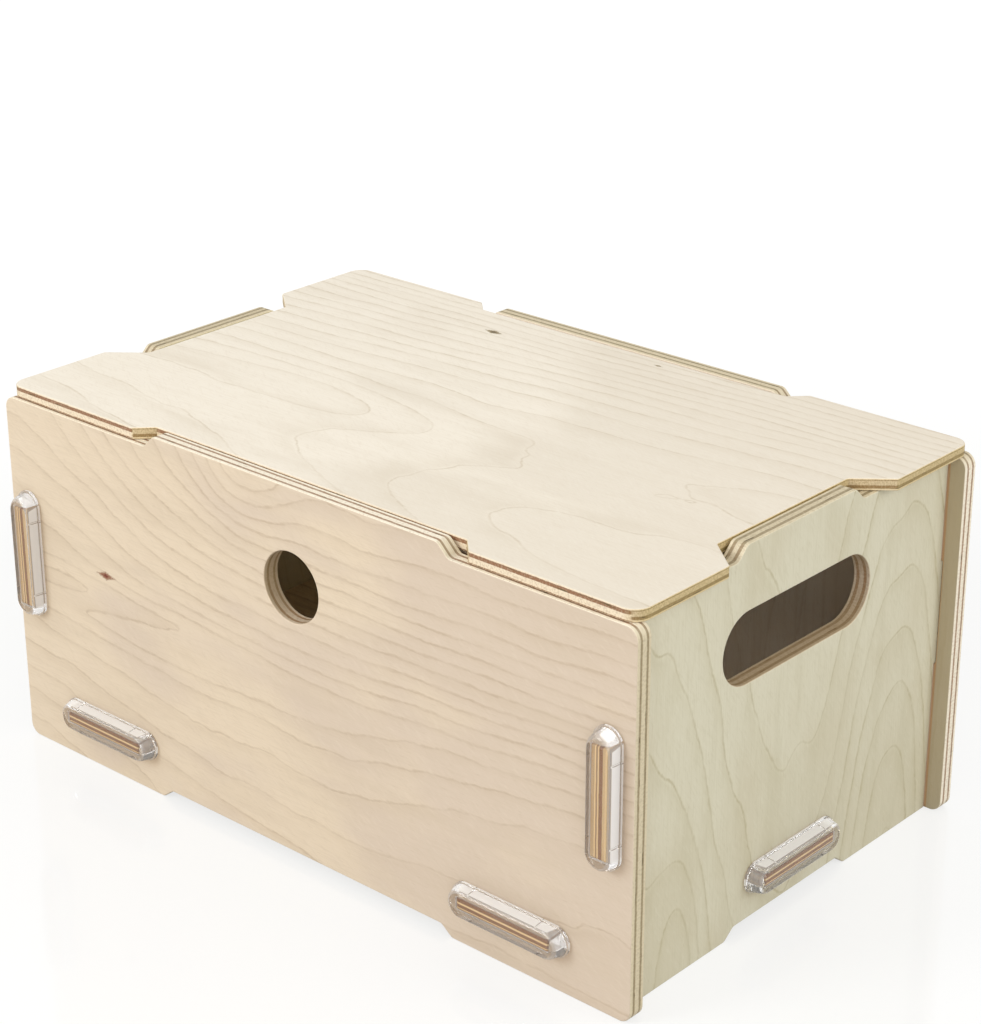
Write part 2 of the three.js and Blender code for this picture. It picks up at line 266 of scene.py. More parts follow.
def lid_outline():
    edge_x, edge_y = lid_high.x, lid_high.y
    notch_x = END_INNER_X - LID_NOTCH_CLEARANCE
    notch_y = LONG_INNER_Y - LID_NOTCH_CLEARANCE
    long_notch = LONG_RAISED_BASE + LID_NOTCH_CLEARANCE
    end_notch = END_RAISED_BASE + LID_NOTCH_CLEARANCE
    return rounded_outline(mirrored([
        (long_notch, -notch_y, NOTCH_FILLET),
        (long_notch + LONG_NOTCH_FLARE, -edge_y, NOTCH_FILLET),
        (edge_x, -edge_y, LID_CORNER_RADIUS),
        (edge_x, -(end_notch + END_NOTCH_FLARE), NOTCH_FILLET),
        (notch_x, -end_notch, NOTCH_FILLET),
        (notch_x, end_notch, NOTCH_FILLET),
        (edge_x, end_notch + END_NOTCH_FLARE, NOTCH_FILLET),
        (edge_x, edge_y, LID_CORNER_RADIUS),
        (long_notch + LONG_NOTCH_FLARE, edge_y, NOTCH_FILLET),
        (long_notch, notch_y, NOTCH_FILLET),
    ]))


# Meshes


def signed_area(points):
    pairs = zip(points, points[1:] + points[:1])
    return sum(a.x * b.y - b.x * a.y for a, b in pairs) / 2


def turned(points, counter_clockwise):
    """The same loop, running the way that is asked for."""
    return points if (signed_area(points) > 0) == counter_clockwise else points[::-1]


def inset_loop(points, inset):
    """A loop moved to its left by an inset, with mitred corners."""
    moved = []
    for index, point in enumerate(points):
        ahead = (points[(index + 1) % len(points)] - point).normalized()
        behind = (point - points[index - 1]).normalized()
        left_ahead = Vector((-ahead.y, ahead.x))
        left_behind = Vector((-behind.y, behind.x))
        mitre = (left_ahead + left_behind) / (1 + left_ahead.dot(left_behind))
        moved.append(point + mitre * inset)
    return moved


def eased_profile(ply):
    """(inset, height) from one face of a board to the other, with both edges rounded over."""
    lower = []
    for step in range(EASE_STEPS + 1):
        angle = math.pi / 2 * step / EASE_STEPS
        inset = EASE_RADIUS * (1 - math.sin(angle))
        lower.append((inset, EASE_RADIUS * (1 - math.cos(angle))))
    return lower + [(inset, ply - height) for inset, height in reversed(lower)]


def add_ring(mesh, points, height):
    return [mesh.verts.new((point.x, point.y, height)) for point in points]


def ring_edges(mesh, ring):
    pairs = zip(ring, ring[1:] + ring[:1])
    return [mesh.edges.get(pair) or mesh.edges.new(pair) for pair in pairs]


def bridge(mesh, low, high):
    for index in range(len(low)):
        after = (index + 1) % len(low)
        mesh.faces.new((low[index], low[after], high[after], high[index]))


def board_mesh(outline, holes, ply):
    """A board cut from a sheet. It lies on Z = 0."""
    mesh = bmesh.new()
    loops = [turned(outline, True)] + [turned(hole, False) for hole in holes]
    face_edges = ([], [])
    for loop in loops:
        rings = [add_ring(mesh, inset_loop(loop, inset), z) for inset, z in eased_profile(ply)]
        for low, high in zip(rings, rings[1:]):
            bridge(mesh, low, high)
        face_edges[0].extend(ring_edges(mesh, rings[0]))
        face_edges[1].extend(ring_edges(mesh, rings[-1]))
    for edges in face_edges:
        bmesh.ops.triangle_fill(mesh, edges=edges, use_beauty=True, use_dissolve=False)
    return mesh


def make_piece(name, mesh, place, material, body, slot, *nodes):
    """Turns a built mesh into a piece that stands for its CAD nodes and moves with their body."""
    bmesh.ops.transform(mesh, matrix=Matrix.Scale(MM, 4) @ place, verts=mesh.verts)
    bmesh.ops.recalc_face_normals(mesh, faces=mesh.faces)
    data = bpy.data.meshes.new(name)
    mesh.to_mesh(data)
    mesh.free()
    data.polygons.foreach_set("use_smooth", [True] * len(data.polygons))
    data.set_sharp_from_angle(angle=SHARP_ANGLE)
    data.materials.append(material)
    piece = bpy.data.objects.new(name, data)
    bpy.context.scene.collection.objects.link(piece)
    weighted = piece.modifiers.new("flat faces stay flat", "WEIGHTED_NORMAL")
    weighted.keep_sharp = True
    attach(piece, body)
    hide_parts(*nodes)
    return piece


# Cap shape. Each level is (side inset, end inset, height) of a slot shape round the cap's middle.
CAP_LEVELS = [
    (0.2, 0.2, 0),
    (0, 0, 0.2),
    (0, 0, 1.3),
    (0.15, 0.15, 1.5),
    (0.55, 0.7, 1.7),
    (1.0, 2.2, 6.3),
    (1.2, 2.9, 7.0),
    (1.7, 3.8, 7.6),
    (2.5, 5.0, 8.0),
]
CAP_GROOVE_OFFSET = 19.5
CAP_GROOVE_WIDTH = 1.2
CAP_GROOVE_DEPTH = 0.25
CAP_GROOVE_LEVELS = range(1, 6)
CAP_GROOVE_POINTS = (0.5, 0.25, -0.25, -0.5)
POCKET_CORNER_RADIUS = 0.8
POCKET_EASE = 0.4
TENON_PROUD = 6


def cap_ring(length, width, side_inset, end_inset, grooved):
    """A slot shape with half-round ends and, where asked, two small grooves in each long side."""
    radius = width / 2 - side_inset
    straight = length / 2 - end_inset - radius
    points = []
    for side in (1, -1):
        start = -side * math.pi / 2
        points += arc_points(Vector((side * straight, 0)), radius, start, math.pi)
        for offset in (CAP_GROOVE_OFFSET, -CAP_GROOVE_OFFSET):
            for across in CAP_GROOVE_POINTS:
                sunk = grooved and abs(across) < max(CAP_GROOVE_POINTS)
                depth = CAP_GROOVE_DEPTH if sunk else 0
                x = side * (offset + across * CAP_GROOVE_WIDTH)
                points.append(Vector((x, side * (radius - depth))))
    return points


def cap_mesh(length, width, tenon_ply):
    """A closed cap on Z = 0 with its long side along X, open below for a tenon."""
    mesh = bmesh.new()
    rings = []
    for level, (side_inset, end_inset, height) in enumerate(CAP_LEVELS):
        grooved = level in CAP_GROOVE_LEVELS
        points = cap_ring(length, width, side_inset, end_inset, grooved)
        rings.append(add_ring(mesh, points, height))
    for low, high in zip(rings, rings[1:]):
        bridge(mesh, low, high)
    mesh.faces.new(rings[-1])
    pocket = rounded_rectangle(
        0, 0, TENON_LENGTH + 2 * CONTACT_GAP, tenon_ply + 2 * CONTACT_GAP, POCKET_CORNER_RADIUS
    )
    pocket = turned(pocket, True)
    roof = inset_loop(pocket, POCKET_EASE)
    walls = [
        add_ring(mesh, pocket, 0),
        add_ring(mesh, pocket, TENON_PROUD - POCKET_EASE),
        add_ring(mesh, roof, TENON_PROUD),
    ]
    for low, high in zip(walls, walls[1:]):
        bridge(mesh, low, high)
    mesh.faces.new(walls[-1])
    rim = ring_edges(mesh, rings[0]) + ring_edges(mesh, walls[0])
    bmesh.ops.triangle_fill(mesh, edges=rim, use_beauty=True, use_dissolve=False)
    return mesh


# Materials


class Shader:
    """Builds the nodes of a material, or of the world, with few words."""

    def __init__(self, owner):
        """owner is a new material or world."""
        owner.use_nodes = True
        self.owner = owner
        self.tree = owner.node_tree
        self.tree.nodes.clear()
        self.coordinates = self.tree.nodes.new("ShaderNodeTexCoord")

    def link(self, value, socket):
        if isinstance(value, bpy.types.NodeSocket):
            self.tree.links.new(value, socket)
        else:
            socket.default_value = value

    def math(self, operation, first, second=0.0, clamp=False):
        node = self.tree.nodes.new("ShaderNodeMath")
        node.operation = operation
        node.use_clamp = clamp
        self.link(first, node.inputs[0])
        self.link(second, node.inputs[1])
        return node.outputs[0]

    def vector(self, operation, first, second=(0, 0, 0)):
        node = self.tree.nodes.new("ShaderNodeVectorMath")
        node.operation = operation
        self.link(first, node.inputs[0])
        self.link(second, node.inputs[1])
        return node.outputs["Value" if operation in ("DOT_PRODUCT", "LENGTH") else "Vector"]

    def combine(self, x, y, z):
        node = self.tree.nodes.new("ShaderNodeCombineXYZ")
        for value, socket in zip((x, y, z), node.inputs):
            self.link(value, socket)
        return node.outputs[0]

    def noise(self, vector, detail=2.0, roughness=0.5):
        """Noise about 0.5, one cell to the unit."""
        node = self.tree.nodes.new("ShaderNodeTexNoise")
        node.inputs["Scale"].default_value = 1
        node.inputs["Detail"].default_value = detail
        node.inputs["Roughness"].default_value = roughness
        self.link(vector, node.inputs["Vector"])
        return node.outputs["Fac"]

    def swing(self, place, along_size, across_size, seed, detail=1.0):
        """Noise about 0, with patches of these sizes."""
        scaled = self.vector("MULTIPLY", place, (1 / along_size, 1 / across_size, 0))
        moved = self.vector("ADD", scaled, (seed, seed, seed))
        return self.math("SUBTRACT", self.noise(moved, detail), 0.5)

    def from_centre(self, place, centre, radii):
        """Where a place lies from a centre, in shares of the radii."""
        offset = self.vector("SUBTRACT", place, (*centre, 0))
        return self.vector("MULTIPLY", offset, (1 / radii[0], 1 / radii[1], 0))

    def separate(self, vector):
        node = self.tree.nodes.new("ShaderNodeSeparateXYZ")
        self.link(vector, node.inputs[0])
        return node.outputs

    def between(self, value, low, high, to_low=0.0, to_high=1.0):
        """Maps low to high onto to_low to to_high, smoothly and held at both ends."""
        node = self.tree.nodes.new("ShaderNodeMapRange")
        node.interpolation_type = "SMOOTHSTEP"
        limits = {"From Min": low, "From Max": high, "To Min": to_low, "To Max": to_high}
        for name, limit in limits.items():
            self.link(limit, node.inputs[name])
        self.link(value, node.inputs["Value"])
        return node.outputs["Result"]

    def mix(self, factor, first, second):
        node = self.tree.nodes.new("ShaderNodeMix")
        node.data_type = "RGBA"
        self.link(factor, node.inputs["Factor"])
        self.link(first, node.inputs["A"])
        self.link(second, node.inputs["B"])
        return next(socket for socket in node.outputs if socket.type == "RGBA")

    def mix_shaders(self, factor, first, second):
        node = self.tree.nodes.new("ShaderNodeMixShader")
        for value, socket in zip((factor, first, second), node.inputs):
            self.link(value, socket)
        return node.outputs[0]

    def bump(self, height, distance, strength=1.0):
        node = self.tree.nodes.new("ShaderNodeBump")
        node.inputs["Distance"].default_value = distance
        node.inputs["Strength"].default_value = strength
        self.link(height, node.inputs["Height"])
        return node.outputs["Normal"]

    def output(self, shader):
        node = self.tree.nodes.new("ShaderNodeOutputMaterial")
        self.tree.links.new(shader, node.inputs["Surface"])
        return self.owner


def srgb(red, green, blue):
    """A colour as it looks on screen, 0 to 255, as the linear colour that a shader takes."""
    channels = []
    for value in (red, green, blue):
        share = value / 255
        linear = share / 12.92 if share <= 0.04045 else ((share + 0.055) / 1.055) ** 2.4
        channels.append(linear)
    return (*channels, 1.0)


AXES = {"X": 0, "Y": 1, "Z": 2}
# Light and dark layers of a cut edge, where it runs with the face grain and where it cuts across it.
WALL_EDGES = {
    "long_light": srgb(250, 240, 218),
    "long_dark": srgb(164, 132, 104),
    "end_light": srgb(218, 204, 172),
    "end_dark": srgb(154, 138, 106),
}
LID_EDGES = {
    "long_light": srgb(240, 224, 196),
    "long_dark": srgb(146, 106, 76),
    "end_light": srgb(220, 198, 150),
    "end_dark": srgb(146, 124, 76),
}
VOID_COLOUR = srgb(104, 88, 56)
# The edges of the hand openings are browner. They lie within this distance of a wall's middle.
OPENING_EDGE = srgb(178, 136, 90)
OPENING_EDGE_SHARE = 0.4
OPENING_REACH = 60
OPENING_HEIGHTS = (120, 170)
# Tenon tips inside their caps are end grain, browner than the other edges, and are also written darker as
# painted shade for the dim inside of a cap.
TIP_LIGHT = srgb(238, 206, 148)
TIP_DARK = srgb(130, 80, 16)
# How far an inner face goes towards its own colour. That colour is another sheet of veneer's and, on the
# walls, also paler as painted light for the inside of the box that the raised lid shades.
INSIDE_SHARE = 0.55
# Where each layer of a board begins, as a share of its thickness, and how dark it looks.
WALL_LAYERS = [(0, 0), (0.2, 1), (0.35, 0.08), (0.65, 1), (0.8, 0)]
END_LAYERS = [(0, 0.1), (0.18, 0.95), (0.36, 0.25), (0.62, 1), (0.8, 0.1)]
THIN_LAYERS = [(0, 0.75), (0.2, 0), (0.4, 1), (0.62, 0), (0.84, 0.1)]
LID_LAYERS = [(0, 0.1), (0.06, 0.9), (0.14, 0.1), (0.58, 1), (0.88, 0)]
LID_END_LAYERS = [(0, 0), (0.18, 1), (0.44, 0.35), (0.82, 0.85), (0.9, 0)]
WALL_TIP_LAYERS = [(0, 0.6), (0.25, 0.1), (0.32, 0.85), (0.42, 0.15), (0.5, 1), (0.72, 0.4), (0.88, 0.1)]
THIN_TIP_LAYERS = [(0, 0.9), (0.14, 0.1), (0.22, 1), (0.5, 0.1), (0.66, 1)]
LAYER_BLUR = 0.02
LAYER_WAVE_LENGTH = 9.0
LAYER_WAVER = 0.05
# How far a surface has to look along an axis to count as a face, or as an end.
FACE_LIMITS = (0.55, 0.85)
END_LIMITS = (0.4, 0.6)

# Growth rings: the step that their slope is taken over, and how wide and how ragged their lines are.
RING_PROBE = 0.5
RING_LINE_WIDTH = 1.0
SHAKE_REACH = 1.6
JITTER_REACH = 0.9
LATE_WOOD_POWER = 4.0
LATE_WOOD_END = 0.92
# Noise in the veneer, as (size along the grain, size across it, seed).
SHAKE_NOISE = (7, 2, 3.7)
JITTER_NOISE = (2.5, 0.8, 9.2)
DASH_NOISE = (6, 1.2, 5.9)
TONE_NOISE = (90, 38, 1.3)
RING_STRENGTH_NOISE = (40, 14, 8.7)
FIBRE_NOISE = (14, 0.8, 2.2)
FLECK_NOISE = (6, 1.1, 4.4)
PORE_NOISE = (5, 0.5, 7.9)
MARK_NOISE = (1.2, 0.8, 5.1)
BLOTCH_NOISE = (9, 1.6, 6.6)
STREAK_LENGTH = 120
STREAK_SEED = 6.1
# Where such a noise begins and ends, and what it then gives at the two.
DASH_RANGE = (-0.2, 0.1, 0.55, 1.0)
TONE_RANGE = (-0.14, 0.14)
STREAK_LIMITS = (0.02, 0.2)
RING_STRENGTH_RANGE = (-0.2, 0.2, 0.4, 1.0)
FIBRE_RANGE = (-0.05, 0.2, 0.0, 0.25)
FLECK_RANGE = (0.06, 0.2, 0.0, 0.2)
# Painted highlight: how far the flecks' pale dashes go towards the gleam colour.
PAINTED_GLEAM_RANGE = (-0.24, -0.08, 0.14, 0.0)
PORE_LIMITS = (0.14, 0.28)
BLOTCH_RANGE = (-0.15, 0.2, 0.25, 1.0)
FLECK_SLANT = math.radians(-32)
MARK_RAGGEDNESS = 0.8
MARK_EDGE = (0.6, 1.15, 1.0, 0.0)
MARK_MIDDLE_LIMITS = (0.15, 0.5)
# How soft the edges of the painted shade bands are.
BAND_BLUR = 0.5

# Cut edges: the sizes of their grain and voids along the edge, and over the thickness as a count.
EDGE_GRAIN_SIZE = 1.1
EDGE_GRAIN_COUNT = 5.0
EDGE_GRAIN_ROUGHNESS = 0.7
EDGE_GRAIN_RANGE = (0.35, 0.7, -0.2, 0.26)
VOID_SIZE = 11.0
VOID_COUNT = 7.0
VOID_LIMITS = (0.63, 0.68)
VOID_DARKNESS = (0.6, 0.9)

# The wood's sheen and relief. Relief is in metres.
WOOD_ROUGHNESS_RANGE = (-0.2, 0.2, 0.5, 0.66)
WOOD_SPECULAR = 0.35
RELIEF_DEPTH = 0.00006
RELIEF_STRENGTH = 0.6
RING_RELIEF = 0.3
LAYER_RELIEF = 0.5


def ring_field(shader, place, figure):
    """Counts growth rings over a face. Dark lines run where the count is whole."""
    field = shader.vector("DOT_PRODUCT", place, (*figure["rates"], 0))
    field = shader.math("ADD", field, figure["start"])
    for centre, radii, height in figure["humps"]:
        scaled = shader.from_centre(place, centre, radii)
        squared = shader.vector("DOT_PRODUCT", scaled, scaled)
        bell = shader.math("POWER", math.e, shader.math("MULTIPLY", squared, -1.0))
        field = shader.math("ADD", field, shader.math("MULTIPLY", bell, height))
    for along_size, across_size, amount, seed in figure["wander"]:
        swing = shader.swing(place, along_size, across_size, seed)
        field = shader.math("ADD", field, shader.math("MULTIPLY", swing, amount))
    return field


def growth_rings(shader, place, figure):
    """How dark the growth rings make a face, from 0 to 1.

    Dividing by the slope keeps the lines as thin where the rings lie far apart.
    """
    shake = shader.math("MULTIPLY", shader.swing(place, *SHAKE_NOISE), SHAKE_REACH)
    jitter = shader.math("MULTIPLY", shader.swing(place, *JITTER_NOISE), JITTER_REACH)
    shake = shader.math("ADD", shake, jitter)
    place = shader.vector("ADD", place, shader.combine(0.0, shake, 0.0))
    field = ring_field(shader, place, figure)
    slopes = []
    for step in ((RING_PROBE, 0, 0), (0, RING_PROBE, 0)):
        beside = ring_field(shader, shader.vector("ADD", place, step), figure)
        slopes.append(shader.math("DIVIDE", shader.math("SUBTRACT", beside, field), RING_PROBE))
    steepness = shader.vector("LENGTH", shader.combine(*slopes, 0.0))
    distance = shader.math("DIVIDE", shader.math("PINGPONG", field, 0.5), steepness)
    line = shader.between(distance, 0.0, RING_LINE_WIDTH, figure["line_depth"], 0.0)
    dashes = shader.between(shader.swing(place, *DASH_NOISE), *DASH_RANGE)
    line = shader.math("MULTIPLY", line, dashes)
    phase = shader.math("FRACT", field)
    late_wood = shader.math("POWER", phase, LATE_WOOD_POWER)
    late_wood = shader.math("MULTIPLY", late_wood, figure["late_wood"])
    end = shader.between(phase, LATE_WOOD_END, 1.0, 1.0, 0.0)
    late_wood = shader.math("MULTIPLY", late_wood, end)
    return shader.math("ADD", line, late_wood, clamp=True)


def ply_stack(shader, depth, layers, length_along):
    """How dark a cut edge is, from 0 to 1, at a share of the board's thickness."""
    edge_line = shader.combine(shader.math("DIVIDE", length_along, LAYER_WAVE_LENGTH), 0.0, 0.0)
    waver = shader.math("SUBTRACT", shader.noise(edge_line), 0.5)
    level = shader.math("ADD", depth, shader.math("MULTIPLY", waver, LAYER_WAVER))
    darkness = 0.0
    for (start, dark), (_, dark_before) in zip(layers[1:], layers):
        step = shader.between(level, start - LAYER_BLUR, start + LAYER_BLUR, 0.0, dark - dark_before)
        darkness = shader.math("ADD", step, darkness)
    return shader.math("ADD", darkness, layers[0][1])


def add_marks(shader, face, place, marks, on_face):
    """Small pin knots and slits: diamonds with a soft edge and a darker middle, on one face of a board."""
    for centre, half_sizes, rim_colour, middle_colour in marks:
        scaled = shader.from_centre(place, centre, half_sizes)
        spread = shader.vector("DOT_PRODUCT", shader.vector("ABSOLUTE", scaled), (1, 1, 0))
        ragged = shader.math("MULTIPLY", shader.swing(place, *MARK_NOISE), MARK_RAGGEDNESS)
        spread = shader.math("ADD", spread, ragged)
        inside = shader.math("MULTIPLY", shader.between(spread, *MARK_EDGE), on_face)
        colour = shader.mix(shader.between(spread, *MARK_MIDDLE_LIMITS), middle_colour, rim_colour)
        face = shader.mix(inside, face, colour)
    return face


def add_joint_and_shade_bands(shader, face, across, joint_and_shade_bands, inner_face):
    """Bands across the inner face, the same distance each side of its middle: painted shade, and dark
    joints with painted contact shade.
    """
    reach = shader.math("ABSOLUTE", across)
    for low, high, colour, share in joint_and_shade_bands:
        begun = shader.between(reach, low - BAND_BLUR, low + BAND_BLUR)
        ended = shader.between(reach, high - BAND_BLUR, high + BAND_BLUR, share, 0.0)
        band = shader.math("MULTIPLY", shader.math("MULTIPLY", begun, ended), inner_face)
        face = shader.mix(band, face, colour)
    return face


def add_blotches(shader, face, place, blotches, on_face):
    """Soft, streaky darker patches, such as lie round a knot, on one face of a board."""
    for centre, radii, colour, share in blotches:
        scaled = shader.from_centre(place, centre, radii)
        spread = shader.vector("DOT_PRODUCT", scaled, scaled)
        streaks = shader.between(shader.swing(place, *BLOTCH_NOISE, detail=2), *BLOTCH_RANGE)
        soft = shader.math("MULTIPLY", shader.between(spread, 0.0, 1.0, share, 0.0), streaks)
        face = shader.mix(shader.math("MULTIPLY", soft, on_face), face, colour)
    return face


def wood_face(shader, place, colours, figure, outer_face):
    """The face veneer's colour, and its rings and fibres for the relief."""
    # The drift is painted light and shade: a steady change of colour across the face for how the lamps
    # fall on it.
    middle, rate = colours["painted_light_drift"]
    from_middle = shader.vector("SUBTRACT", place, (middle, 0, 0))
    painted_light_drift = shader.vector("DOT_PRODUCT", from_middle, (rate, 0, 0))
    tone = shader.math("ADD", shader.swing(place, *TONE_NOISE, detail=2), painted_light_drift)
    face = shader.mix(shader.between(tone, *TONE_RANGE), colours["pale"], colours["warm"])
    streaks = shader.swing(place, STREAK_LENGTH, figure["streak"], STREAK_SEED, detail=2)
    streaks = shader.between(streaks, *STREAK_LIMITS, 0.0, figure["streak_depth"])
    face = shader.mix(streaks, face, colours["fibre"])

    strength = shader.swing(place, *RING_STRENGTH_NOISE, detail=2)
    strength = shader.between(strength, *RING_STRENGTH_RANGE)
    rings = shader.math("MULTIPLY", growth_rings(shader, place, figure), strength)
    face = shader.mix(rings, face, colours["ring"])
    fibres = shader.swing(place, *FIBRE_NOISE, detail=3)
    face = shader.mix(shader.between(fibres, *FIBRE_RANGE), face, colours["fibre"])

    slant_x, slant_y = math.cos(FLECK_SLANT), math.sin(FLECK_SLANT)
    run = shader.vector("DOT_PRODUCT", place, (slant_x, slant_y, 0))
    rise = shader.vector("DOT_PRODUCT", place, (-slant_y, slant_x, 0))
    flecks = shader.swing(shader.combine(run, rise, 0.0), *FLECK_NOISE)
    face = shader.mix(shader.between(flecks, *FLECK_RANGE), face, colours["fibre"])
    # Painted highlight: pale dashes beside the flecks, as if they caught the light.
    face = shader.mix(shader.between(flecks, *PAINTED_GLEAM_RANGE), face, colours["painted_gleam"])
    pores = shader.between(shader.swing(place, *PORE_NOISE), *PORE_LIMITS, 0.0, figure["pores"])
    face = shader.mix(pores, face, colours["ring"])
    face = add_marks(shader, face, place, figure.get("marks", []), outer_face)
    return face, rings, fibres


def wood_edge(shader, length_along, depth, layers, end_layers, end_grain, colours):
    """A cut edge: light and dark plies, end grain and a few voids. Also how dark it is, from 0 to 1."""
    darkness = ply_stack(shader, depth, layers, length_along)
    if end_layers:
        on_ends = ply_stack(shader, depth, end_layers, length_along)
        darkness = shader.between(end_grain, *END_LIMITS, darkness, on_ends)
    place = shader.combine(length_along, depth, 0.0)
    grain_place = shader.vector("MULTIPLY", place, (1 / EDGE_GRAIN_SIZE, EDGE_GRAIN_COUNT, 0))
    grain = shader.noise(grain_place, 3, EDGE_GRAIN_ROUGHNESS)
    grain = shader.between(grain, *EDGE_GRAIN_RANGE)
    darkness = shader.math("ADD", darkness, grain, clamp=True)
    light = shader.mix(end_grain, colours["long_light"], colours["end_light"])
    dark = shader.mix(end_grain, colours["long_dark"], colours["end_dark"])
    edge = shader.mix(darkness, light, dark)
    void_place = shader.vector("MULTIPLY", place, (1 / VOID_SIZE, VOID_COUNT, 0))
    voids = shader.between(shader.noise(void_place, 1), *VOID_LIMITS)
    voids = shader.math("MULTIPLY", voids, shader.between(darkness, *VOID_DARKNESS))
    return shader.mix(voids, edge, VOID_COLOUR), darkness


def plywood(
    name, axes, span, layers, outer, colours, figure,
    edge_colours=WALL_EDGES, end_layers=(), tips=(), tip_layers=(), across_openings=None,
):
    """Birch plywood.

    axes are those of the face grain, across it and of the thickness. outer is +1 where the outer face
    looks along the last one, and -1 where it looks the other way. end_layers are those of the edges that
    cut across the face grain, where they differ. tips says beyond what distance, along which axis, the
    board's tenons are in their caps. across_openings is the level axis of a wall.
    """
    along, across, through = axes
    shader = Shader(bpy.data.materials.new(name))
    metres = shader.coordinates.outputs["Object"]
    millimetres = shader.vector("MULTIPLY", metres, (1 / MM, 1 / MM, 1 / MM))
    position = shader.separate(millimetres)
    normal = shader.separate(shader.coordinates.outputs["Normal"])
    u, v, w = (position[AXES[axis]] for axis in (along, across, through))
    facing = shader.math("MULTIPLY", normal[AXES[through]], float(outer))
    outer_face = shader.between(facing, *FACE_LIMITS)

    # The inner face is another sheet of veneer, so its figure is moved along.
    place = shader.combine(u, v, 0.0)
    hidden = shader.math("SUBTRACT", 1.0, outer_face)
    moved = shader.vector("MULTIPLY", figure["inner_shift"], shader.combine(hidden, hidden, 0.0))
    face_place = shader.vector("ADD", place, moved)
    face, rings, fibres = wood_face(shader, face_place, colours, figure, outer_face)
    # The inner face goes towards its inside colour, which on the walls is partly painted light for the
    # shaded inside.
    face = shader.mix(shader.math("MULTIPLY", hidden, INSIDE_SHARE), face, colours["inside"])
    face = add_joint_and_shade_bands(shader, face, v, figure.get("joint_and_shade_bands", []), hidden)
    face = add_blotches(shader, face, place, figure.get("blotches", []), hidden)

    depth = shader.math("DIVIDE", shader.math("SUBTRACT", w, span[0]), span[1] - span[0])
    end_grain = shader.math("ABSOLUTE", normal[AXES[along]])
    length_along = shader.math("ADD", u, v)
    edge, darkness = wood_edge(
        shader, length_along, depth, layers, end_layers, end_grain, edge_colours
    )
    if across_openings:
        nearness = shader.math("ABSOLUTE", position[AXES[across_openings]])
        near = shader.math("LESS_THAN", nearness, OPENING_REACH)
        above = shader.math("GREATER_THAN", position[AXES["Z"]], OPENING_HEIGHTS[0])
        below = shader.math("LESS_THAN", position[AXES["Z"]], OPENING_HEIGHTS[1])
        at_opening = shader.math("MULTIPLY", near, shader.math("MULTIPLY", above, below))
        share = shader.math("MULTIPLY", at_opening, OPENING_EDGE_SHARE)
        edge = shader.mix(share, edge, OPENING_EDGE)
    is_face = shader.between(shader.math("ABSOLUTE", facing), *FACE_LIMITS)
    colour = shader.mix(is_face, edge, face)
    # Tenon tips in their caps take their own plies and colours, which are partly painted shade.
    for axis, reach in tips:
        in_cap = shader.math("GREATER_THAN", shader.math("ABSOLUTE", position[AXES[axis]]), reach)
        tip = ply_stack(shader, depth, tip_layers, length_along)
        colour = shader.mix(in_cap, colour, shader.mix(tip, TIP_LIGHT, TIP_DARK))

    principled = shader.tree.nodes.new("ShaderNodeBsdfPrincipled")
    shader.link(colour, principled.inputs["Base Color"])
    roughness = shader.between(fibres, *WOOD_ROUGHNESS_RANGE)
    shader.link(roughness, principled.inputs["Roughness"])
    principled.inputs["Specular IOR Level"].default_value = WOOD_SPECULAR
    relief = shader.math("ADD", shader.math("MULTIPLY", rings, RING_RELIEF), fibres)
    relief = shader.math("SUBTRACT", relief, shader.math("MULTIPLY", darkness, LAYER_RELIEF))
    shader.link(shader.bump(relief, RELIEF_DEPTH, RELIEF_STRENGTH), principled.inputs["Normal"])
    return shader.output(principled.outputs[0])


# In these colours the drift paints light and shade as a steady change across each face.
FRONT_COLOURS = {
    "pale": srgb(228, 210, 184),
    "warm": srgb(218, 200, 179),
    "ring": srgb(188, 166, 138),
    "fibre": srgb(209, 191, 166),
    "painted_gleam": srgb(236, 222, 202),
    "inside": srgb(238, 218, 184),
    "painted_light_drift": (0, 1 / 900),
}
END_COLOURS = {
    "pale": srgb(218, 212, 187),
    "warm": srgb(211, 203, 176),
    "ring": srgb(176, 164, 122),
    "fibre": srgb(200, 192, 162),
    "painted_gleam": srgb(228, 224, 204),
    "inside": srgb(250, 234, 192),
    "painted_light_drift": (84, -1 / 600),
}
# The back's pale and inside colours are written paler as painted light for the inside that the raised lid
# shades, and its drift makes it palest at the bottom.
BACK_COLOURS = {
    "pale": srgb(253, 241, 222),
    "warm": srgb(230, 210, 182),
    "ring": srgb(196, 168, 132),
    "fibre": srgb(216, 192, 160),
    "painted_gleam": srgb(250, 240, 220),
    "inside": srgb(253, 242, 224),
    "painted_light_drift": (110, 1 / 360),
}
# The bottom's upper face is as deep in colour as it looks through the finger hole.
BOTTOM_COLOURS = {**BACK_COLOURS, "pale": srgb(248, 224, 184), "warm": srgb(226, 196, 150)}
LID_COLOURS = {
    "pale": srgb(246, 237, 220),
    "warm": srgb(236, 226, 208),
    "ring": srgb(204, 188, 160),
    "fibre": srgb(226, 214, 194),
    "painted_gleam": srgb(248, 242, 228),
    "inside": srgb(238, 226, 204),
    "painted_light_drift": (0, 1 / 500),
}
# Painted shade on the back's inner face: a dark joint with painted contact shade where each end wall meets
# it, and painted shade on the strip beyond each end wall.
CORNER_JOINT_SHADE = srgb(186, 128, 72)
STRIP_SHADE = srgb(152, 136, 92)
SWIRL_COLOUR = srgb(192, 152, 98)
KNOT_RIM = srgb(150, 110, 84)
KNOT_MIDDLE = srgb(112, 44, 28)
SLIT_RIM = srgb(150, 132, 96)
SLIT_MIDDLE = srgb(84, 70, 40)
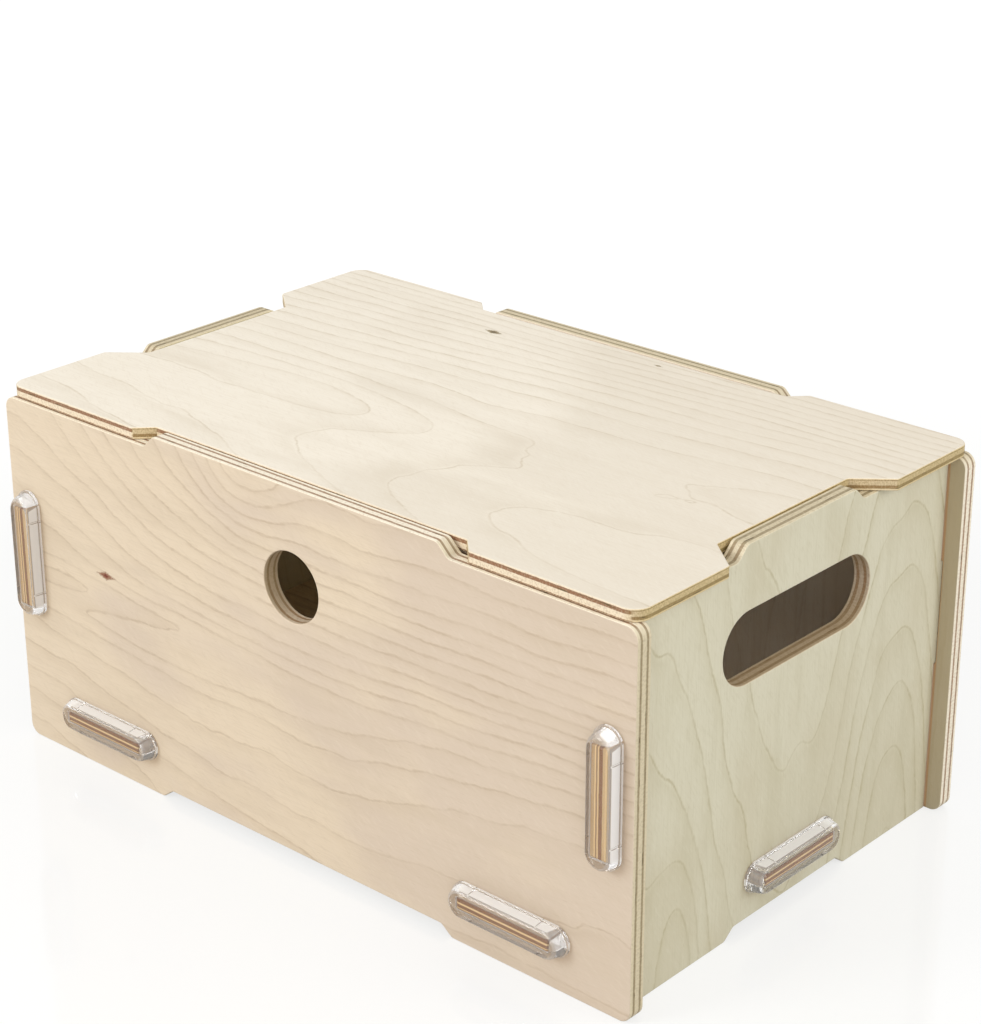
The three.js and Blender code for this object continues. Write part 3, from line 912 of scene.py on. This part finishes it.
# Growth-ring figures along and across the grain, in millimetres and rings: the count's rates over the
# face, humps in it as (centre, radii, height), and wander as (size along, size across, height, seed).
# Marks are (centre, half sizes, rim, middle), blotches (centre, radii, colour, share) and the joint and
# shade bands (nearest to the middle, farthest from it, colour, share), which are painted shade and dark
# joints.
FRONT_FIGURE = {
    "rates": (0, 1 / 20),
    "start": 0,
    "humps": [
        ((0, 190), (900, 70), 6.5),
        ((-260, -10), (160, 90), -3),
        ((230, 85), (200, 50), -2.6),
        ((-200, 190), (120, 80), -7),
        ((-32, 195), (30, 28), 2.6),
        ((-110, 99), (150, 9), -1.1),
        ((-110, 84), (150, 10), 0.9),
    ],
    "wander": [(70, 30, 0.9, 3.1), (20, 8, 0.22, 9.7)],
    "line_depth": 0.66,
    "late_wood": 0.3,
    "streak": 14,
    "streak_depth": 0.25,
    "pores": 0.25,
    "marks": [((-131, 110), (7, 2.4), KNOT_RIM, KNOT_MIDDLE)],
    "inner_shift": (60, -25, 0),
}
END_FIGURE = {
    "rates": (1 / 65, 0),
    "start": -0.6,
    "humps": [
        ((0, 80), (170, 36), -3.6),
        ((80, 2), (400, 55), 1.6),
        ((90, -120), (260, 60), -2.5),
        ((0, -80), (62, 15), -2),
        ((100, 128), (300, 20), 1.2),
    ],
    "wander": [(80, 26, 0.8, 5.3), (24, 12, 0.1, 2.9)],
    "line_depth": 0.7,
    "late_wood": 0.3,
    "streak": 16,
    "streak_depth": 0.3,
    "pores": 0.25,
    "inner_shift": (40, 70, 0),
}
BACK_FIGURE = {
    "rates": (0, 1 / 13),
    "start": 0,
    "humps": [
        ((66, -16), (22, 16), 3.6),
        ((74, 34), (44, 40), 3.2),
        ((110, 60), (30, 26), -1.6),
        ((190, 60), (120, 60), -2),
    ],
    "wander": [(110, 26, 1.6, 7.9), (24, 8, 0.3, 4.3)],
    "line_depth": 0.65,
    "late_wood": 0.35,
    "streak": 4,
    "streak_depth": 0.4,
    "pores": 0.7,
    "blotches": [((62, -14), (18, 11), SWIRL_COLOUR, 0.7), ((90, -24), (22, 8), SWIRL_COLOUR, 0.25)],
    # Painted shade: the corner bands are dark joints with painted contact shade, and the strip beyond each
    # end wall is painted shade.
    "joint_and_shade_bands": [
        (180, 182, CORNER_JOINT_SHADE, 0.7),
        (191, 201, STRIP_SHADE, 0.7),
        (190, 192, CORNER_JOINT_SHADE, 0.6),
    ],
    "inner_shift": (0, 0, 0),
}
BOTTOM_FIGURE = {**BACK_FIGURE, "joint_and_shade_bands": [], "blotches": []}
LID_FIGURE = {
    "rates": (-1 / 330, 1 / 28),
    "start": 0,
    "humps": [
        ((0, 150), (900, 66), 10),
        ((-200, 60), (220, 40), 1.6),
        ((200, -105), (230, 70), 5.8),
        ((-170, -31), (120, 26), -1.6),
        ((-60, -31), (60, 22), -1.3),
        ((178, 2), (30, 16), -0.9),
    ],
    "wander": [(80, 30, 0.8, 6.7), (24, 12, 0.18, 8.3)],
    "line_depth": 0.65,
    "late_wood": 0.3,
    "streak": 16,
    "streak_depth": 0.2,
    "pores": 0.15,
    "marks": [
        ((-70, 91), (6.5, 2.6), SLIT_RIM, SLIT_MIDDLE),
        ((26, 107), (3, 1), SLIT_RIM, SLIT_RIM),
    ],
    "inner_shift": (45, 30, 0),
}

CAP_CLEAR = srgb(250, 250, 251)
# This white is also the colour of the painted highlights on the eased edges and the painted reflection on
# the ends.
CAP_HAZE_AND_HIGHLIGHT = srgb(248, 246, 243)
# What a lamp's light keeps of its colour through the roof, and through the sides and ends.
CAP_ROOF_SHADOW = srgb(250, 249, 247)
CAP_SIDE_SHADOW = srgb(194, 178, 156)
CAP_ROUGHNESS = 0.04
CAP_IOR = 1.3
# How cloudy white the caps are on the roof, on the eased edges round it, on the flat sides and on the
# ends.
# On the eased edges this white is partly a painted highlight, and on the ends partly a painted reflection.
ROOF_HAZE = 0.03
EDGE_HAZE_AND_HIGHLIGHT = 0.24
SIDE_HAZE = 0.84
END_HAZE_AND_REFLECTION = 0.26
ROOF_LIMITS = (0.88, 0.97)
EDGE_LIMITS = (0.3, 0.5)
SIDE_LIMITS = (0.96, 0.985)
INNER_HAZE_SHARE = 0.35
# A ray's count of diffuse bounces lies below this before the first, and above it after.
FIRST_BOUNCE = 0.5


def clear_plastic(outward):
    """Moulded clear plastic, cloudy white in places, that lets the lamps through. The white is partly a
    painted highlight on the eased edges and a painted reflection on the ends.

    outward is the axis that its caps face along.
    """
    shader = Shader(bpy.data.materials.new("clear plastic facing " + outward))
    principled = shader.tree.nodes.new("ShaderNodeBsdfPrincipled")
    principled.inputs["Base Color"].default_value = CAP_CLEAR
    principled.inputs["Roughness"].default_value = CAP_ROUGHNESS
    principled.inputs["IOR"].default_value = CAP_IOR
    principled.inputs["Transmission Weight"].default_value = 1.0
    # Cloudy white, which is also the painted highlight on the eased edges and the painted reflection on
    # the ends.
    milky_and_highlight = shader.tree.nodes.new("ShaderNodeBsdfDiffuse")
    milky_and_highlight.inputs["Color"].default_value = CAP_HAZE_AND_HIGHLIGHT

    normal = shader.separate(shader.coordinates.outputs["Normal"])
    facing = shader.math("ABSOLUTE", normal[AXES[outward]])
    sideways = [shader.math("ABSOLUTE", normal[AXES[axis]]) for axis in AXES if axis != outward]
    haze_and_highlight = shader.between(shader.math("MAXIMUM", *sideways), *SIDE_LIMITS, END_HAZE_AND_REFLECTION, SIDE_HAZE)
    haze_and_highlight = shader.between(facing, *EDGE_LIMITS, haze_and_highlight, EDGE_HAZE_AND_HIGHLIGHT)
    is_roof = shader.between(facing, *ROOF_LIMITS)
    haze_and_highlight = shader.between(is_roof, 0.0, 1.0, haze_and_highlight, ROOF_HAZE)
    # The inner sides of the walls are clearer.
    geometry = shader.tree.nodes.new("ShaderNodeNewGeometry")
    kept = shader.between(geometry.outputs["Backfacing"], 0.0, 1.0, 1.0, INNER_HAZE_SHARE)
    haze_and_highlight = shader.math("MULTIPLY", haze_and_highlight, kept)
    body = shader.mix_shaders(haze_and_highlight, principled.outputs[0], milky_and_highlight.outputs[0])

    transparent = shader.tree.nodes.new("ShaderNodeBsdfTransparent")
    shader.link(shader.mix(is_roof, CAP_SIDE_SHADOW, CAP_ROOF_SHADOW), transparent.inputs["Color"])
    # Light for the wood goes straight through, so that a cap doesn't gather it twice.
    light_path = shader.tree.nodes.new("ShaderNodeLightPath")
    scattered = shader.math("GREATER_THAN", light_path.outputs["Diffuse Depth"], FIRST_BOUNCE)
    lighting = shader.math("MAXIMUM", light_path.outputs["Is Shadow Ray"], scattered)
    return shader.output(shader.mix_shaders(lighting, body, transparent.outputs[0]))


# Places: each board is drawn flat on Z = 0, and these stand it up where its CAD node is.
STAND_UP = Matrix.Rotation(math.pi / 2, 4, "X")
QUARTER_TURN = Matrix.Rotation(math.pi / 2, 4, "Z")


def build_walls():
    long_walls = (
        ("front_panel", "XZY", front_low.y, front_high.y, -1, FRONT_COLOURS, FRONT_FIGURE),
        ("back_panel", "ZXY", back_low.y, back_high.y, 1, BACK_COLOURS, BACK_FIGURE),
    )
    for node, axes, low, high, outer, colours, figure in long_walls:
        name = node.replace("_panel", " plywood")
        span = (low, high)
        wood = plywood(name, axes, span, WALL_LAYERS, outer, colours, figure, across_openings="X")
        board = board_mesh(long_panel_outline(), long_panel_holes(), WALL_PLY)
        place = Matrix.Translation((0, high, 0)) @ STAND_UP
        make_piece(node + "_board", board, place, wood, "box", "wall_plywood", node)
    end_walls = (
        ("left_end_panel", left_low, left_high, -1),
        ("right_end_panel", right_low, right_high, 1),
    )
    for node, low, high, outer in end_walls:
        wood = plywood(
            node + " plywood",
            "ZYX",
            (low.x, high.x),
            END_LAYERS,
            outer,
            END_COLOURS,
            END_FIGURE,
            tips=[("Y", LONG_TIP_REACH)],
            tip_layers=WALL_TIP_LAYERS,
            across_openings="Y",
        )
        board = board_mesh(end_panel_outline(), end_panel_holes(), WALL_PLY)
        place = Matrix.Translation((low.x, 0, 0)) @ QUARTER_TURN @ STAND_UP
        make_piece(node + "_board", board, place, wood, "box", "wall_plywood", node)


def build_bottom():
    wood = plywood(
        "bottom plywood",
        "XYZ",
        (bottom_low.z, bottom_high.z),
        THIN_LAYERS,
        1,
        BOTTOM_COLOURS,
        BOTTOM_FIGURE,
        tips=[("Y", LONG_TIP_REACH), ("X", END_TIP_REACH)],
        tip_layers=THIN_TIP_LAYERS,
    )
    board = board_mesh(bottom_panel_outline(), [], BOTTOM_PLY)
    place = Matrix.Translation((0, 0, bottom_low.z))
    make_piece("bottom_board", board, place, wood, "box", "thin_plywood", "bottom_panel")


def build_lid():
    span = (lid_low.z, lid_high.z)
    wood = plywood(
        "lid plywood", "XYZ", span, LID_LAYERS, 1, LID_COLOURS, LID_FIGURE,
        edge_colours=LID_EDGES, end_layers=LID_END_LAYERS,
    )
    board = board_mesh(lid_outline(), [], LID_PLY)
    place = Matrix.Translation((0, 0, lid_low.z))
    make_piece("lid_board", board, place, wood, "lid", "thin_plywood", "lid_top_board")
    span = (locating_low.z, locating_high.z)
    wood = plywood(
        "locating plywood", "XYZ", span, THIN_LAYERS, 1, LID_COLOURS, LID_FIGURE, edge_colours=LID_EDGES
    )
    width, depth = 2 * locating_high.x, 2 * locating_high.y
    outline = rounded_rectangle(0, 0, width, depth, LOCATING_CORNER_RADIUS)
    board = board_mesh(outline, [], LOCATING_PLY)
    place = Matrix.Translation((0, 0, locating_low.z))
    make_piece("lid_locating_board_wood", board, place, wood, "lid", "thin_plywood", "lid_locating_board")


def build_caps():
    plastics = {axis: clear_plastic(axis) for axis in ("X", "Y")}
    for node in sorted(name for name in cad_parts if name.endswith("_cap")):
        low, high = node_span(node)
        middle = (low + high) / 2
        size = high - low
        on_end = size.x < size.y
        if on_end:
            turn = QUARTER_TURN if middle.x > 0 else QUARTER_TURN.inverted()
        else:
            turn = Matrix.Rotation(0 if middle.y < 0 else math.pi, 4, "Z")
        upright = size.z > size.x and not on_end
        roll = QUARTER_TURN if upright else Matrix.Identity(4)
        length = max(size)
        width = sorted(size)[1]
        outward = turn @ Vector((0, -1, 0))
        foot = middle - outward * min(size) / 2
        tenon_ply = WALL_PLY if upright else BOTTOM_PLY
        place = Matrix.Translation(foot) @ turn @ STAND_UP @ roll
        mesh = cap_mesh(length, width, tenon_ply)
        plastic = plastics["X" if on_end else "Y"]
        make_piece(node + "_clear", mesh, place, plastic, "box", "clear_plastic", node)


# Stage


FLOOR_SIZE = 12.0
# How pale the floor is to the light on the object, and how pale it is to the camera.
FLOOR_BOUNCE = 0.42
FLOOR_SEEN = 0.22
# To the camera it also glows, more with distance, so that it runs into the white behind it.
FLOOR_GLOW_NEAR = 0.79
FLOOR_GLOW_FAR = 0.95
FLOOR_GLOW_REACH = (0.35, 1.1)
FLOOR_GLOW_COLOUR = (1.0, 1.0, 0.99, 1.0)
FLOOR_SHEEN = 0.07
FLOOR_SHEEN_ROUGHNESS = 0.08
# The world's strength on the object. Behind it the world is white.
WORLD_LIGHT = 0.61
WORLD_COLOUR = (1.0, 1.0, 1.0, 1.0)
LAMP_AIM = Vector((0, 0, 0.1))
# Lamps: place, size, power and colour.
LAMPS = {
    "key": (Vector((-0.95, -2.1, 1.3)), 1.1, 29, (1.0, 0.985, 0.965)),
    "side": (Vector((2.2, 0.75, 1.25)), 1.4, 19, (1.0, 1.0, 1.0)),
    "fill": (Vector((1.6, -1.78, 1.15)), 1.9, 17, (1.0, 1.0, 1.0)),
}


def seen_rays(shader):
    """1 for the rays that show a surface itself: from the camera, off gloss or through glass.

    Rays that light the wood through a cap aren't among them, so a cap adds no light.
    """
    light_path = shader.tree.nodes.new("ShaderNodeLightPath")
    seen = light_path.outputs["Is Camera Ray"]
    for name in ("Is Glossy Ray", "Is Transmission Ray"):
        seen = shader.math("MAXIMUM", seen, light_path.outputs[name])
    unscattered = shader.math("LESS_THAN", light_path.outputs["Diffuse Depth"], FIRST_BOUNCE)
    return shader.math("MULTIPLY", seen, unscattered)


def build_floor():
    shader = Shader(bpy.data.materials.new("pale floor"))
    nodes = shader.tree.nodes
    bounce = nodes.new("ShaderNodeBsdfDiffuse")
    bounce.inputs["Color"].default_value = (FLOOR_BOUNCE,) * 3 + (1,)
    seen_diffuse = nodes.new("ShaderNodeBsdfDiffuse")
    seen_diffuse.inputs["Color"].default_value = (FLOOR_SEEN,) * 3 + (1,)
    glow = nodes.new("ShaderNodeEmission")
    distance = shader.vector("LENGTH", shader.coordinates.outputs["Object"])
    strength = shader.between(distance, *FLOOR_GLOW_REACH, FLOOR_GLOW_NEAR, FLOOR_GLOW_FAR)
    shader.link(strength, glow.inputs["Strength"])
    glow.inputs["Color"].default_value = FLOOR_GLOW_COLOUR
    seen = nodes.new("ShaderNodeAddShader")
    shader.link(seen_diffuse.outputs[0], seen.inputs[0])
    shader.link(glow.outputs[0], seen.inputs[1])
    gloss = nodes.new("ShaderNodeBsdfGlossy")
    gloss.inputs["Roughness"].default_value = FLOOR_SHEEN_ROUGHNESS
    polished = shader.mix_shaders(FLOOR_SHEEN, seen.outputs[0], gloss.outputs[0])
    surface = shader.mix_shaders(seen_rays(shader), bounce.outputs[0], polished)
    material = shader.output(surface)
    data = bpy.data.meshes.new("floor")
    half = FLOOR_SIZE / 2
    corners = [(-half, -half, 0), (half, -half, 0), (half, half, 0), (-half, half, 0)]
    data.from_pydata(corners, [], [(0, 1, 2, 3)])
    data.materials.append(material)
    floor = bpy.data.objects.new("floor", data)
    bpy.context.scene.collection.objects.link(floor)


def build_world():
    world = bpy.data.worlds.new("studio")
    bpy.context.scene.world = world
    shader = Shader(world)
    background = shader.tree.nodes.new("ShaderNodeBackground")
    background.inputs["Color"].default_value = WORLD_COLOUR
    strength = shader.between(seen_rays(shader), 0.0, 1.0, WORLD_LIGHT, 1.0)
    shader.link(strength, background.inputs["Strength"])
    output = shader.tree.nodes.new("ShaderNodeOutputWorld")
    shader.link(background.outputs[0], output.inputs["Surface"])


def build_lamp(name, place, size, power, colour):
    lamp = bpy.data.lights.new(name, "AREA")
    lamp.shape = "DISK"
    lamp.size = size
    lamp.energy = power
    lamp.color = colour
    holder = bpy.data.objects.new(name, lamp)
    holder.location = place
    holder.rotation_euler = (LAMP_AIM - place).to_track_quat("-Z", "Y").to_euler()
    bpy.context.scene.collection.objects.link(holder)


def build_camera():
    forward = Vector((
        -math.sin(CAMERA_YAW) * math.cos(CAMERA_PITCH),
        math.cos(CAMERA_YAW) * math.cos(CAMERA_PITCH),
        math.sin(CAMERA_PITCH),
    ))
    level_right = forward.cross(Vector((0, 0, 1))).normalized()
    level_up = level_right.cross(forward)
    right = math.cos(CAMERA_ROLL) * level_right + math.sin(CAMERA_ROLL) * level_up
    up = right.cross(forward)
    data = bpy.data.cameras.new("camera")
    data.sensor_width = SENSOR_SIZE
    data.lens = FOCAL_LENGTH_PIXELS / PICTURE_HEIGHT * SENSOR_SIZE
    camera = bpy.data.objects.new("camera", data)
    camera.matrix_world = Matrix((
        (right.x, up.x, -forward.x, CAMERA_PLACE.x * MM),
        (right.y, up.y, -forward.y, CAMERA_PLACE.y * MM),
        (right.z, up.z, -forward.z, CAMERA_PLACE.z * MM),
        (0, 0, 0, 1),
    ))
    bpy.context.scene.collection.objects.link(camera)
    bpy.context.scene.camera = camera


build_camera()
build_walls()
build_bottom()
build_lid()
build_caps()
build_floor()
build_world()
for lamp_name, lamp_values in LAMPS.items():
    build_lamp(lamp_name, *lamp_values)

bpy.context.scene.view_settings.view_transform = "Standard"
